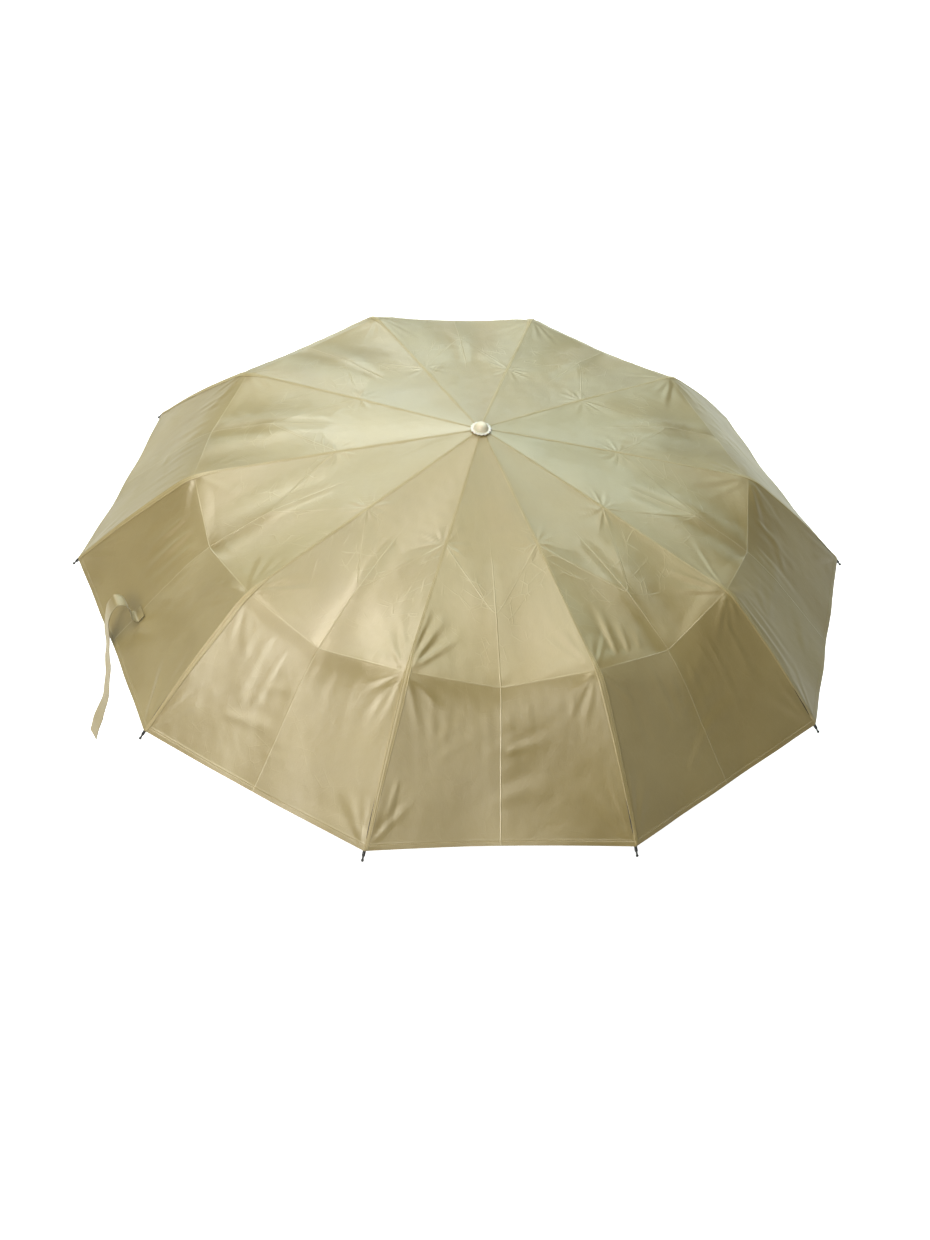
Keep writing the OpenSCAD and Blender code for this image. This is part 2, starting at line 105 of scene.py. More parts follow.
class Graph:
    """A material with a Principled shader, and short ways to add nodes to it."""

    def __init__(self, name, color=(0.8, 0.8, 0.8), rough=0.5, metal=0.0, **sockets):
        self.mat = bpy.data.materials.new(name)
        self.mat.use_nodes = True
        self.mat.diffuse_color = (*color, 1)
        self.tree = self.mat.node_tree
        self.bsdf = next(n for n in self.tree.nodes if n.type == "BSDF_PRINCIPLED")
        self.set("Base Color", (*color, 1))
        self.set("Roughness", rough)
        self.set("Metallic", metal)
        for key, value in sockets.items():
            self.set(key.replace("_", " "), value)

    def set(self, socket, value):
        self.bsdf.inputs[socket].default_value = value

    def add(self, kind, inputs=(), **props):
        n = self.tree.nodes.new(kind)
        for k, v in props.items():
            setattr(n, k, v)
        for key, value in dict(inputs).items():
            if isinstance(value, bpy.types.NodeSocket):
                self.tree.links.new(value, n.inputs[key])
            else:
                n.inputs[key].default_value = value
        return n

    def to(self, out, socket):
        self.tree.links.new(out, self.bsdf.inputs[socket])

    def place(self, uv=None, scale=(1, 1, 1)):
        """Coordinates in metres: a UV map, or the object's own space."""
        if uv:
            out = self.add("ShaderNodeUVMap", uv_map=uv).outputs[0]
        else:
            out = self.add("ShaderNodeTexCoord").outputs["Object"]
        return self.add("ShaderNodeMapping", {"Vector": out, "Scale": scale}).outputs[0]

    def noise(self, at, scale, detail=2.0, rough=0.5, warp=0.0):
        return self.add(
            "ShaderNodeTexNoise",
            {"Vector": at, "Scale": scale, "Detail": detail, "Roughness": rough, "Distortion": warp},
        ).outputs["Fac"]

    def math(self, op, a, b=0.0, c=0.0):
        return self.add("ShaderNodeMath", {0: a, 1: b, 2: c}, operation=op).outputs[0]

    def uv(self, name):
        """The two coordinates of a UV map, apart."""
        sep = self.add("ShaderNodeSeparateXYZ", {0: self.add("ShaderNodeUVMap", uv_map=name).outputs[0]})
        return sep.outputs[0], sep.outputs[1]

    def remap(self, value, a, b, lo, hi, smooth=False):
        limits = {"From Min": a, "From Max": b, "To Min": lo, "To Max": hi}
        n = self.add("ShaderNodeMapRange", {"Value": value, **limits})
        n.interpolation_type = "SMOOTHSTEP" if smooth else "LINEAR"
        n.clamp = True
        return n.outputs[0]

    def ramp(self, value, *stops):
        n = self.add("ShaderNodeValToRGB", {"Fac": value})
        r = n.color_ramp
        while len(r.elements) < len(stops):
            r.elements.new(0.5)
        for e, (at, color) in zip(r.elements, stops):
            e.position, e.color = at, (*color, 1)
        return n.outputs[0]

    def mix(self, fac, a, b):
        """From colour a to colour b by fac, a socket. b is a plain colour."""
        return self.add("ShaderNodeMix", {0: fac, 6: a, 7: (*b, 1)}, data_type="RGBA").outputs[2]

    def bump(self, height, distance, strength=1.0, under=None):
        ins = {"Height": height, "Distance": distance, "Strength": strength}
        if under is not None:
            ins["Normal"] = under
        out = self.add("ShaderNodeBump", ins).outputs[0]
        self.to(out, "Normal")
        return out

    def stitches(self, uv, lines, pitch=0.0026, half=0.00032):
        """1 on the thread of each stitch line. The map's U is the distance from the edge and V the place along it."""
        across, along = self.uv(uv)
        dash = self.math("PINGPONG", along, pitch / 2)
        dash = self.remap(dash, pitch * 0.10, pitch * 0.2, 0, 1)
        total = None
        for line in lines:
            off = self.math("ABSOLUTE", self.math("SUBTRACT", across, line))
            one = self.math("MULTIPLY", self.remap(off, half * 0.5, half, 1, 0), dash)
            total = one if total is None else self.math("MAXIMUM", total, one)
        return total, across


GOLD_DARK = (0.205, 0.154, 0.050)
GOLD = (0.232, 0.177, 0.060)
GOLD_LIGHT = (0.260, 0.202, 0.074)
THREAD = 0.00045  # thread pitch, metres
CREASE = 0.0011  # half width of a pressed crease, metres


def satin(g, anisotropy):
    """Warp and weft each reflect across their own length, so the shine turns a quarter from thread to thread."""
    g.set("Anisotropic", anisotropy)
    where = g.add("ShaderNodeUVMap", uv_map="cloth").outputs[0]
    check = g.add("ShaderNodeTexChecker", {"Vector": where, "Scale": 1 / THREAD})
    g.to(g.math("MULTIPLY", check.outputs["Fac"], 0.25), "Anisotropic Rotation")
    g.to(g.add("ShaderNodeTangent", direction_type="UV_MAP", uv_map="cloth").outputs[0], "Tangent")


def ridge(g, value, at, half):
    """1 where value is at, falling to 0 within half of it."""
    return g.remap(g.math("ABSOLUTE", g.math("SUBTRACT", value, at)), 0.0, half, 1, 0, True)


def creases(g):
    """Fold memory of the pressed gore: lines down the middle, along the fold between knees and round the flat
    diamond, and fine crumple lines, as a mask for their bump and for their painted highlight. The fold map's U is tau
    and its V the distance sideways from the mid line."""
    tau, sideways = g.uv("fold")
    side = g.math("ABSOLUTE", sideways)
    at = g.place("cloth")
    broken = g.noise(at, 26.0, 3.0)
    wander = g.math("MULTIPLY_ADD", g.noise(at, 18.0, 2.0), 0.003, -0.0015)
    middle = ridge(g, g.math("ADD", sideways, wander), 0.0, CREASE)
    middle = g.math("MULTIPLY", middle, g.remap(tau, 0.55, 0.9, 0, 1, True))
    fold = g.math("MULTIPLY", ridge(g, tau, 2.0, 0.010), g.remap(side, 0.06, 0.11, 1, 0.25))
    diamond = g.math("MULTIPLY", ridge(g, tau, 1.0, 0.010), g.remap(broken, 0.38, 0.55, 0.25, 1))
    lines = g.math("MAXIMUM", g.math("MAXIMUM", middle, fold), diamond)
    cells = None
    for scale, seed in ((26.0, 0.0), (43.0, 3.7)):
        warp = g.add("ShaderNodeVectorMath", {0: at, 1: (seed, seed * 0.7, 0)}, operation="ADD").outputs[0]
        kind = {"feature": "DISTANCE_TO_EDGE", "voronoi_dimensions": "2D"}
        v = g.add("ShaderNodeTexVoronoi", {"Vector": warp, "Scale": scale, "Randomness": 1.0}, **kind)
        one = g.remap(v.outputs["Distance"], 0.0, CREASE * scale, 1, 0, True)
        cells = one if cells is None else g.math("MAXIMUM", cells, one)
    near = g.math("MULTIPLY", g.remap(tau, 0.70, 0.95, 0, 1, True), g.remap(tau, 1.15, 1.9, 1, 0.22, True))
    cells = g.math("MULTIPLY", cells, g.math("MULTIPLY", near, g.remap(broken, 0.46, 0.60, 0, 1, True)))
    return g.math("MAXIMUM", lines, g.math("MULTIPLY", cells, 0.55))


def cloth(name, stitch=(), tint=1.0, rough=0.43, pressed=False):
    """Satin pongee: fine weave, slow drift of tone, a directional gloss along the threads, pressed creases with a
    painted highlight along their lines.
    """
    g = Graph(name, GOLD, rough, IOR=1.85, Specular_IOR_Level=1.0, Sheen_Weight=0.05, Sheen_Roughness=0.5)
    g.set("Sheen Tint", (1.0, 0.97, 0.86, 1))
    g.set("Specular Tint", (1.0, 0.97, 0.88, 1))
    satin(g, 0.90)
    at = g.place("cloth")
    slow = g.noise(at, 9.0, 3.0, 0.55)
    threads = g.noise(g.place("cloth", (1.0, 0.08, 1.0)), 1500.0, 2.0)
    tone = g.math("MULTIPLY_ADD", threads, 0.35, g.math("MULTIPLY", slow, 0.65))
    tints = [tuple(min(1, c * tint) for c in col) for col in (GOLD_DARK, GOLD, GOLD_LIGHT)]
    color = g.ramp(tone, (0.32, tints[0]), (0.50, tints[1]), (0.68, tints[2]))
    crease = g.noise(g.place("cloth", (1.0, 0.45, 1.0)), 55.0, 4.0, 0.55, 1.2)
    normal = g.bump(crease, 0.0011, 0.22)
    if pressed:
        lines = creases(g)
        # painted highlight: the crease lines are mixed towards a light gold, as though their ridges caught the light
        color = g.mix(g.math("MULTIPLY", lines, 0.22), color, (0.62, 0.54, 0.34))
        normal = g.bump(lines, 0.00035, 0.8, normal)
    if stitch:
        thread, across = g.stitches("edge", stitch)
        color = g.mix(thread, color, tuple(c * 1.25 for c in tints[2]))
        pinch = None
        for line in stitch:
            off = g.math("ABSOLUTE", g.math("SUBTRACT", across, line))
            one = g.remap(off, 0.0, CREASE, 0, 1, True)
            pinch = one if pinch is None else g.math("MINIMUM", pinch, one)
        g.bump(g.math("MULTIPLY_ADD", thread, 0.8, pinch), 0.0003, 0.8, normal)
    g.to(color, "Base Color")
    g.to(g.remap(slow, 0.3, 0.7, rough - 0.04, rough + 0.05), "Roughness")
    return g.mat


def coating(name):
    """The black light-blocking coat on the canopy's underside."""
    g = Graph(name, (0.012, 0.012, 0.013), 0.5, Specular_IOR_Level=0.5)
    at = g.place("cloth")
    slow = g.noise(at, 22.0, 4.0)
    g.to(g.ramp(slow, (0.3, (0.009, 0.009, 0.010)), (0.7, (0.017, 0.017, 0.019))), "Base Color")
    g.to(g.remap(slow, 0.3, 0.7, 0.42, 0.60), "Roughness")
    g.bump(g.noise(g.place("cloth", (1, 0.5, 1)), 70.0, 4.0, 0.55, 1.0), 0.0008, 0.25)
    return g.mat


def around(color, spread):
    """The two stops of a ramp from a little darker than color to a little lighter."""
    return [(at, tuple(min(1, c * f) for c in color)) for at, f in ((0.3, 1 - spread), (0.7, 1 + spread))]


def plastic(name, color, rough, grain, depth, spread, **more):
    """Moulded plastic or rubber: a fine grain of the given scale and depth, and small changes of tone and gloss."""
    g = Graph(name, color, rough, **more)
    at = g.place()
    g.to(g.ramp(g.noise(at, 30.0, 3.0), *around(color, spread)), "Base Color")
    g.to(g.remap(g.noise(at, 160.0, 4.0), 0.3, 0.7, rough - 0.06, rough + 0.08), "Roughness")
    g.bump(g.noise(at, grain, 3.0, 0.6), depth, 0.6)
    return g.mat


def metal(name, color, rough, stretch=(1, 1, 0.02), scale=1400.0):
    """Drawn or plated metal: fine lines along the part, and slow changes of gloss."""
    g = Graph(name, color, rough, 1.0)
    lines = g.noise(g.place(scale=stretch), scale, 3.0, 0.6)
    slow = g.noise(g.place(), 45.0, 3.0)
    tone = g.math("MULTIPLY_ADD", lines, 0.5, g.math("MULTIPLY", slow, 0.5))
    g.to(g.ramp(tone, *around(color, 0.08)), "Base Color")
    g.to(g.remap(slow, 0.3, 0.7, rough - 0.05, rough + 0.09), "Roughness")
    g.bump(lines, 0.00002, 0.5)
    return g.mat


fabric = cloth("pongee_gold", (0.0052,), pressed=True)
seam_cloth = cloth("pongee_seam", (0.0014, 0.0048), 1.18, 0.50)
strap_cloth = cloth("pongee_strap", (0.0016, 0.0184), 1.0, 0.52)
lining = coating("coating_black")
tape_mat = plastic("hook_tape", (0.30, 0.245, 0.12), 0.85, 1500.0, 0.0004, 0.25)
mats = {
    "grip_rubber": plastic("grip_rubber", (0.020, 0.020, 0.021), 0.58, 1600.0, 0.00007, 0.2),
    "black_plastic": plastic("black_plastic", (0.018, 0.018, 0.019), 0.36, 1100.0, 0.00003, 0.15),
    "bright_metal": metal("bright_metal", (0.66, 0.66, 0.67), 0.22),
    "shaft_metal": metal("shaft_metal", (0.58, 0.58, 0.60), 0.24),
    "rib_metal": metal("rib_metal", (0.30, 0.30, 0.31), 0.34, (1, 1, 1), 700.0),
    "rod_black": plastic("rod_black", (0.022, 0.022, 0.023), 0.32, 1800.0, 0.00003, 0.15),
    "tip_metal": metal("tip_metal", (0.10, 0.10, 0.11), 0.30, (1, 1, 1), 900.0),
}

# ---------------------------------------------------------------- meshes


UP_Z = np.array([0, 0, 1.0])


def frame_of(place):
    """Outward and sideways directions at a rib's number, or halfway between two of them, such as 6.5 for gore 6."""
    a = (place - 1) * STEP
    return np.array([math.cos(a), math.sin(a), 0]), np.array([-math.sin(a), math.cos(a), 0])


def mesh(name, points, faces, materials, index=None, normals=None, uvs=None):
    """A mesh object from points in millimetres. uvs is {map: one (u, v) a point}, in metres."""
    me = bpy.data.meshes.new(name)
    me.from_pydata((np.asarray(points, float) * MM).tolist(), [], [list(map(int, f)) for f in faces])
    for m in materials:
        me.materials.append(m)
    if index is not None:
        me.polygons.foreach_set("material_index", np.asarray(index, np.int32))
    if uvs:
        loops = np.zeros(len(me.loops), np.int32)
        me.loops.foreach_get("vertex_index", loops)
        for key, uv in uvs.items():
            layer = me.uv_layers.new(name=key)
            layer.data.foreach_set("uv", np.asarray(uv, np.float32)[loops].ravel())
    me.polygons.foreach_set("use_smooth", [True] * len(me.polygons))
    me.update()
    if normals is not None:
        me.normals_split_custom_set_from_vertices(np.asarray(normals, float).tolist())
    ob = bpy.data.objects.new(name, me)
    scene.collection.objects.link(ob)
    return ob


def shell(top, normal, thick, uvs):
    """A closed thin sheet over a grid of points: outer layer, inner layer thick mm below, and a rim. Returns points,
    faces, material index, normals and uvs. Material 0 is outside and on the rim, 1 is inside."""
    rows, cols = top.shape[:2]
    n = rows * cols
    grid = np.arange(n).reshape(rows, cols)
    a, b, c, d = grid[:-1, :-1], grid[:-1, 1:], grid[1:, 1:], grid[1:, :-1]
    up = np.stack([a, b, c, d], -1).reshape(-1, 4)
    flat_n = normal.reshape(-1, 3)
    v = top.reshape(-1, 3)
    # the outer faces turn the way the normals point
    q = up[len(up) // 2]
    face_n = np.cross(v[q[1]] - v[q[0]], v[q[3]] - v[q[0]])
    if face_n @ flat_n[q[0]] < 0:
        up = up[:, ::-1]
    down = up[:, ::-1] + n
    ring = np.concatenate([grid[0, :], grid[1:, -1], grid[-1, -2::-1], grid[-2:0:-1, 0]])
    nxt = np.roll(ring, -1)
    side = np.stack([ring, ring + n, nxt + n, nxt], -1)
    e = side[0]
    mid = v.mean(0)
    out = np.cross(-flat_n[e[0]], v[e[3]] - v[e[0]])
    if out @ (v[e[0]] - mid) < 0:
        side = side[:, ::-1]
    points = np.concatenate([v, v - flat_n * thick])
    faces = np.concatenate([up, down, side])
    index = [0] * len(up) + [1] * len(down) + [0] * len(side)
    return (
        points,
        faces,
        index,
        np.concatenate([flat_n, -flat_n]),
        {k: np.concatenate([x.reshape(-1, 2)] * 2) for k, x in uvs.items()},
    )


def smooth_min(a, b, k):
    h = np.clip(0.5 + 0.5 * (b - a) / k, 0, 1)
    return b * (1 - h) + a * h - k * h * (1 - h)


def waves(x, y, seed, size, count=7):
    """Smooth seeded undulation, about -1 to 1, of a given size in mm."""
    r = np.random.RandomState(seed)
    out = 0
    for _ in range(count):
        a = r.uniform(0, 2 * math.pi)
        f = 2 * math.pi / (size * r.uniform(0.7, 1.6))
        out = out + np.sin(f * (x * math.cos(a) + y * math.sin(a)) + r.uniform(0, 6.28))
    return out / math.sqrt(count * 2)


# ---------------------------------------------------------------- canopy surface

CROWN_R, FIRST_R, KNEE_R, TIP_R = 5.5, 180.7, 359.0, 512.5
INNER_SLOPE, MIDDLE_SLOPE = 0.212, 0.2245
FIRST_Z, CROWN_Z = 580.9, 618.0
THICK = 0.35
ROLL = 12.0
FRONT = 8
# mid-gore line of each gore, as (radius, height): the flat diamond's apex, the fold's vertex and the hem
MIDS = {
    1: ((286, 557.0), (375, 519.0), (512, 388.5)),
    2: ((284, 557.5), (374, 525.0), (509, 391.0)),
    3: ((284, 557.5), (373, 527.0), (511, 389.5)),
    4: ((284, 557.5), (374, 525.5), (512, 388.0)),
    5: ((286, 557.0), (374, 520.0), (510, 390.0)),
    6: ((288, 556.0), (373, 519.0), (510, 391.5)),
    7: ((284, 557.0), (371, 522.0), (511, 389.0)),
    8: ((278, 557.6), (369.7, 524.6), (508.5, 395.5)),
    9: ((292, 555.0), (374, 519.0), (510, 390.5)),
    10: ((300, 553.0), (377, 514.5), (514, 387.0)),
}


def rib_line(tau):
    """Radius and height of the cloth over a rib."""
    rho = np.interp(tau, [0, 1, 2, 3], [CROWN_R, FIRST_R, KNEE_R, TIP_R])
    inner = FIRST_Z + np.where(rho < FIRST_R, INNER_SLOPE, MIDDLE_SLOPE) * (FIRST_R - rho)
    d = rho - 392.0
    outer = 514.4 - 0.84 * d - 0.00135 * d * d + 1.2 * np.clip((rho - 495) / 15, 0, 1)
    outer = outer + 1.6 * np.exp(-(((rho - 372) / 22) ** 2))  # rolls over just past the knee
    return rho, smooth_min(inner, outer, 9.0)


def mid_line(g, tau):
    """Radius and height of the cloth down the middle of gore g. The radius is a rib's on the same straight line."""
    (ar, az), (vr, vz), (hr, hz) = MIDS[g]
    rho = np.interp(tau, [0, 1, 2, 3], [CROWN_R, ar, vr, hr])
    a = CROWN_Z - (CROWN_Z - az) / (ar - CROWN_R) * (rho - CROWN_R)
    b = vz - (az - vz) / (vr - ar) * (rho - vr)
    # past the fold the cloth keeps its slope for a little and then rolls over
    br, bz = vr + ROLL, vz - (az - vz) / (vr - ar) * ROLL
    c = bz - (bz - hz) / (hr - br) * (rho - br)
    return rho, smooth_min(smooth_min(a, b, 2.5), c, 18.0)


def stroke(x, y, p, q, amp, width):
    """A fold along p to q, in gore coordinates: height amp, fading at both ends, with a soft trough beside it."""
    p, q = np.array(p, float), np.array(q, float)
    d = q - p
    length = math.hypot(*d)
    t = ((x - p[0]) * d[0] + (y - p[1]) * d[1]) / length**2
    off = ((x - p[0]) * -d[1] + (y - p[1]) * d[0]) / length
    ends = np.clip(t * 5, 0, 1) * np.clip((1 - t) * 1.8, 0, 1)
    ends = ends * ends * (3 - 2 * ends)
    w = width * (0.55 + 0.75 * np.clip(t, 0, 1))
    return amp * ends * (np.exp(-((off / w) ** 2)) - 0.5 * np.exp(-(((off - 1.5 * w) / w) ** 2)))


def folds(g):
    """Folds of one gore: (from, to, height, width), with from and to as (forward, sideways) in mm."""
    r = np.random.RandomState(900 + g)
    c, s = math.cos(HALF), math.sin(HALF)
    out = []
    for side in (-1, 1):
        tip = (TIP_R * c - 3, side * (TIP_R * s - 4))
        knee = (KNEE_R * c, side * KNEE_R * s)
        tack = (FIRST_R * c, side * FIRST_R * s)
        for lean in (0.20, 0.50, 0.90):  # fans from the tip
            lean, reach = lean + r.uniform(-0.08, 0.08), r.uniform(60, 110)
            end = (tip[0] - reach * math.cos(lean), tip[1] - side * reach * math.sin(lean))
            out.append((tip, end, r.uniform(0.35, 0.75), r.uniform(4.0, 6.0)))
        for lean in (0.1, 0.45, 0.85):  # fans from the knee down the outer panel
            lean, reach = lean + r.uniform(-0.12, 0.12), r.uniform(50, 95)
            end = (knee[0] + reach * math.cos(lean) * 0.8, knee[1] - side * (reach * math.sin(lean) + 4))
            out.append((knee, end, r.uniform(0.35, 0.8), r.uniform(4.0, 6.0)))
        for lean in (0.35, 0.62, 0.95):  # and back over the shoulder
            reach = r.uniform(45, 110)
            end = (knee[0] - reach * math.cos(lean), knee[1] - side * reach * math.sin(lean))
            out.append((knee, end, r.uniform(0.3, 0.75), r.uniform(4.0, 6.0)))
        for j in range(5):  # puckers round the tack
            a, reach = -1.3 + j * 0.62 + r.uniform(-0.15, 0.15), r.uniform(22, 42)
            end = (tack[0] + reach * math.sin(a), tack[1] - side * reach * math.cos(a))
            out.append((tack, end, r.uniform(0.25, 0.5), r.uniform(2.6, 3.6)))
    deep = {6: 1.0, 8: 0.5, 9: 0.6, 10: 0.55, 7: 0.5, 5: 0.8}.get(g, 0.6)
    for j in range(8):  # soft folds hanging from the shoulder crease
        y0 = -84 + 24 * j + r.uniform(-6, 6)
        x0 = 356 - abs(y0) * 0.12 + r.uniform(4, 16)
        end = (x0 + r.uniform(50, 100), y0 * 1.12 + r.uniform(-12, 12))
        out.append(((x0, y0), end, deep * r.uniform(0.4, 0.9), r.uniform(5.5, 9.0)))
    for j in range(5):  # slack folds lying across the outer panel
        x0, y0 = r.uniform(395, 460), r.uniform(-90, 30)
        reach, a = r.uniform(50, 95), r.uniform(0.9, 1.5)
        end = (x0 - reach * math.cos(a), y0 + reach * math.sin(a))
        out.append(((x0, y0), end, 0.55 * r.uniform(0.5, 1.0), r.uniform(5.0, 9.0)))
    return out


SPECIAL = {  # folds that single gores show
    6: [
        ((486, 150), (425, 74), 0.9, 4.0), ((484, 152), (440, 98), 0.6, 4.0),
        ((362, -64), (432, -66), 1.1, 6.0), ((360, -40), (446, -46), 1.2, 6.5),
        ((362, -18), (440, -26), 1.0, 6.0), ((366, 6), (428, -4), 0.8, 6.0),
        ((470, -90), (486, -112), 0.8, 4.0),
    ],
    8: [
        ((338, -104), (262, -58), 0.9, 5.0), ((336, -98), (284, -34), 0.7, 5.5),
        ((334, -106), (240, -70), 0.6, 4.5), ((430, -118), (482, -140), 0.9, 4.5),
    ],
    9: [
        ((338, -70), (262, -42), 1.3, 5.5), ((340, -52), (292, -34), 0.9, 5.0),
        ((342, -34), (310, -22), 0.6, 5.0),
    ],
    10: [
        ((352, -104), (480, -132), 0.8, 4.5), ((356, -88), (470, -112), 0.6, 5.0),
        ((360, 60), (450, 52), 0.6, 6.0), ((366, 20), (462, 14), 0.6, 6.0),
    ],
}


def height(g, tau, x, y):
    """How far the cloth stands off its taut surface, in mm."""
    out = 0.35 * waves(x, y, 40 + g, 75) + 0.10 * waves(x, y, 140 + g, 22)
    for p, q, amp, width in folds(g) + SPECIAL.get(g, []):
        out = out + stroke(x, y, p, q, amp, width)
    edge = np.clip(np.abs(y) / (x * math.tan(HALF) + 1e-6), 0, 1)
    hold = np.clip((1 - edge) * x * math.tan(HALF) / 7.0, 0, 1)  # still where the seam holds it
    crown = np.clip((x - 18) / 60, 0.05, 1)
    hem = 0.30 * np.clip((tau - 2.960) / 0.010, 0, 1)  # the turned hem is twice as thick
    return out * hold * crown + hem


# how gently the cloth turns at the mid line: tau, softness
SOFTNESS = [0, 0.9, 1.0, 1.3, 1.85, 2.0, 2.08, 2.5, 3.0], [0.5, 0.3, 0.08, 0.45, 0.35, 0.04, 0.25, 0.8, 0.8]


def surface(g, tau, w):
    """Points of gore g, rows of (forward, sideways, up) in mm."""
    rr, rz = rib_line(tau)
    mr, mz = mid_line(g, tau)
    soft = np.interp(tau, *SOFTNESS)
    a = (np.sqrt(w * w + soft * soft) - soft) / (np.sqrt(1 + soft * soft) - soft)
    rho = mr + (rr - mr) * a
    z = mz + (rz - mz) * a
    wave = 1.4 * np.clip(tau - 2.6, 0, 0.4) / 0.4 * np.sin(w * 9 + g * 1.7) * (1 - w * w)
    if g == FRONT:  # its hem swings up a little beside the middle
        grow = np.clip(tau - 2.55, 0, 0.45) ** 2 / 0.45**2
        wave = wave + 6.5 * grow * np.exp(-(((w - 0.36) / 0.30) ** 2)) * (1 - w * w)
    x = rho * math.cos(HALF) + wave * 0.5
    # sideways the threads run straight out from the mid line to the rib
    y = rr * math.sin(HALF) * w
    lean = np.radians(np.interp(tau, [0, 1, 1.9, 2.1, 3], [12, 15, 22, 40, 44]))
    d = height(g, tau, x, y)
    return np.stack([x + d * np.sin(lean), y, z + wave * 0.6 + d * np.cos(lean)], -1)


def surface_normal(g, tau, w, lo, hi):
    dt, dw = 0.004, 0.006
    a = surface(g, np.clip(tau - dt, 0, 3), w)
    b = surface(g, np.clip(tau + dt, 0, 3), w)
    c = surface(g, tau, np.clip(w - dw, lo, hi))
    d = surface(g, tau, np.clip(w + dw, lo, hi))
    n = np.cross(b - a, d - c)
    n = n / (np.linalg.norm(n, axis=-1, keepdims=True) + 1e-12)
    return np.where(n[..., 2:] < 0, -n, n)


def to_frame(g, p):
    """From gore coordinates (forward, sideways, up) to the row frame."""
    u, v = frame_of(g + 0.5)
    return p[..., :1] * u + p[..., 1:2] * v + p[..., 2:] * UP_Z


# The first cut between sections runs straight across the gore at the first joint, the second along the fold.
# For each section: (slope of the rib and rise of the cloth towards the middle, in degrees, tau of the anchor, share
# of the width kept, start of its length on the cloth map). The sections ride on their ribs' bodies and don't draw in
# as the umbrella closes; only the start on the cloth map is used.
SECTIONS = {
    "top": (12.0, -4.0, 0.5, 0.06, 0),
    "middle": (12.7, 4.0, 1.5, 0.06, 0.2),
    "outer": (43.0, -10.0, 2.5, 0.08, 0.4),
}
COLUMNS = 40
HEM_ROWS = [0.960, 0.9625, 0.965, 0.97, 0.985, 1.0]  # closer together where the hem is turned
OUTER_LENGTH = 186.0 * MM
for g in range(1, RIBS + 1):
    for side in (-1, 1):
        k = g if side < 0 else g % RIBS + 1
        w = side * (1 - np.linspace(1, 0, COLUMNS) ** 1.25)  # closer together towards the rib
        start = (FIRST_R / math.cos(HALF) ** 2 - CROWN_R) / (MIDS[g][0][0] - CROWN_R)
        cut = start + (0.975 - start) * np.abs(w)
        for name, (slope, rise, middle, keep, shift) in SECTIONS.items():
            if name == "top":
                f = np.linspace(0, 1, 46)[:, None]
                tau = f * cut[None, :]
            elif name == "middle":
                f, h = np.linspace(0, 1, 22)[:-1, None], np.linspace(0, 1, 44)[:, None]
                tau = np.concatenate([cut[None, :] + (1 - cut[None, :]) * f, 1 + h * np.ones((1, COLUMNS))])
            else:
                f = np.concatenate([np.linspace(0, 0.955, 46), HEM_ROWS])[:, None]
                tau = 2 + f * np.ones((1, COLUMNS))
            ww = np.broadcast_to(w, tau.shape)
            local = surface(g, tau, ww)
            lo, hi = (-1, 0.02) if side < 0 else (-0.02, 1)
            normal = surface_normal(g, tau, ww, lo, hi)
            top = to_frame(g, local)
            turn = to_frame(g, normal)
            along = np.linalg.norm(np.diff(local, axis=0, prepend=local[:1]), axis=-1).cumsum(0) * MM
            sideways = local[..., 1] * MM
            uv = {
                "cloth": np.stack([sideways + 0.9 * g, along + shift], -1),
                "fold": np.stack([tau, sideways], -1),
                "edge": np.stack([(3 - tau) * OUTER_LENGTH, sideways], -1),
            }
            p, faces, index, normals, uvs = shell(top, turn, THICK, uv)
            label = f"canopy_{name}_{g:02d}{'a' if side < 0 else 'b'}"
            ob = mesh(label, p, faces, [fabric, lining], index, normals, uvs)
            body = f"{name}_rib_{k:02d}"
            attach(ob, body)
            slope, rise = math.radians(slope), math.radians(rise)
            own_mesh(ob)
            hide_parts("canopy")

# ---------------------------------------------------------------- seams over the ribs


SEAM_ROWS = 60


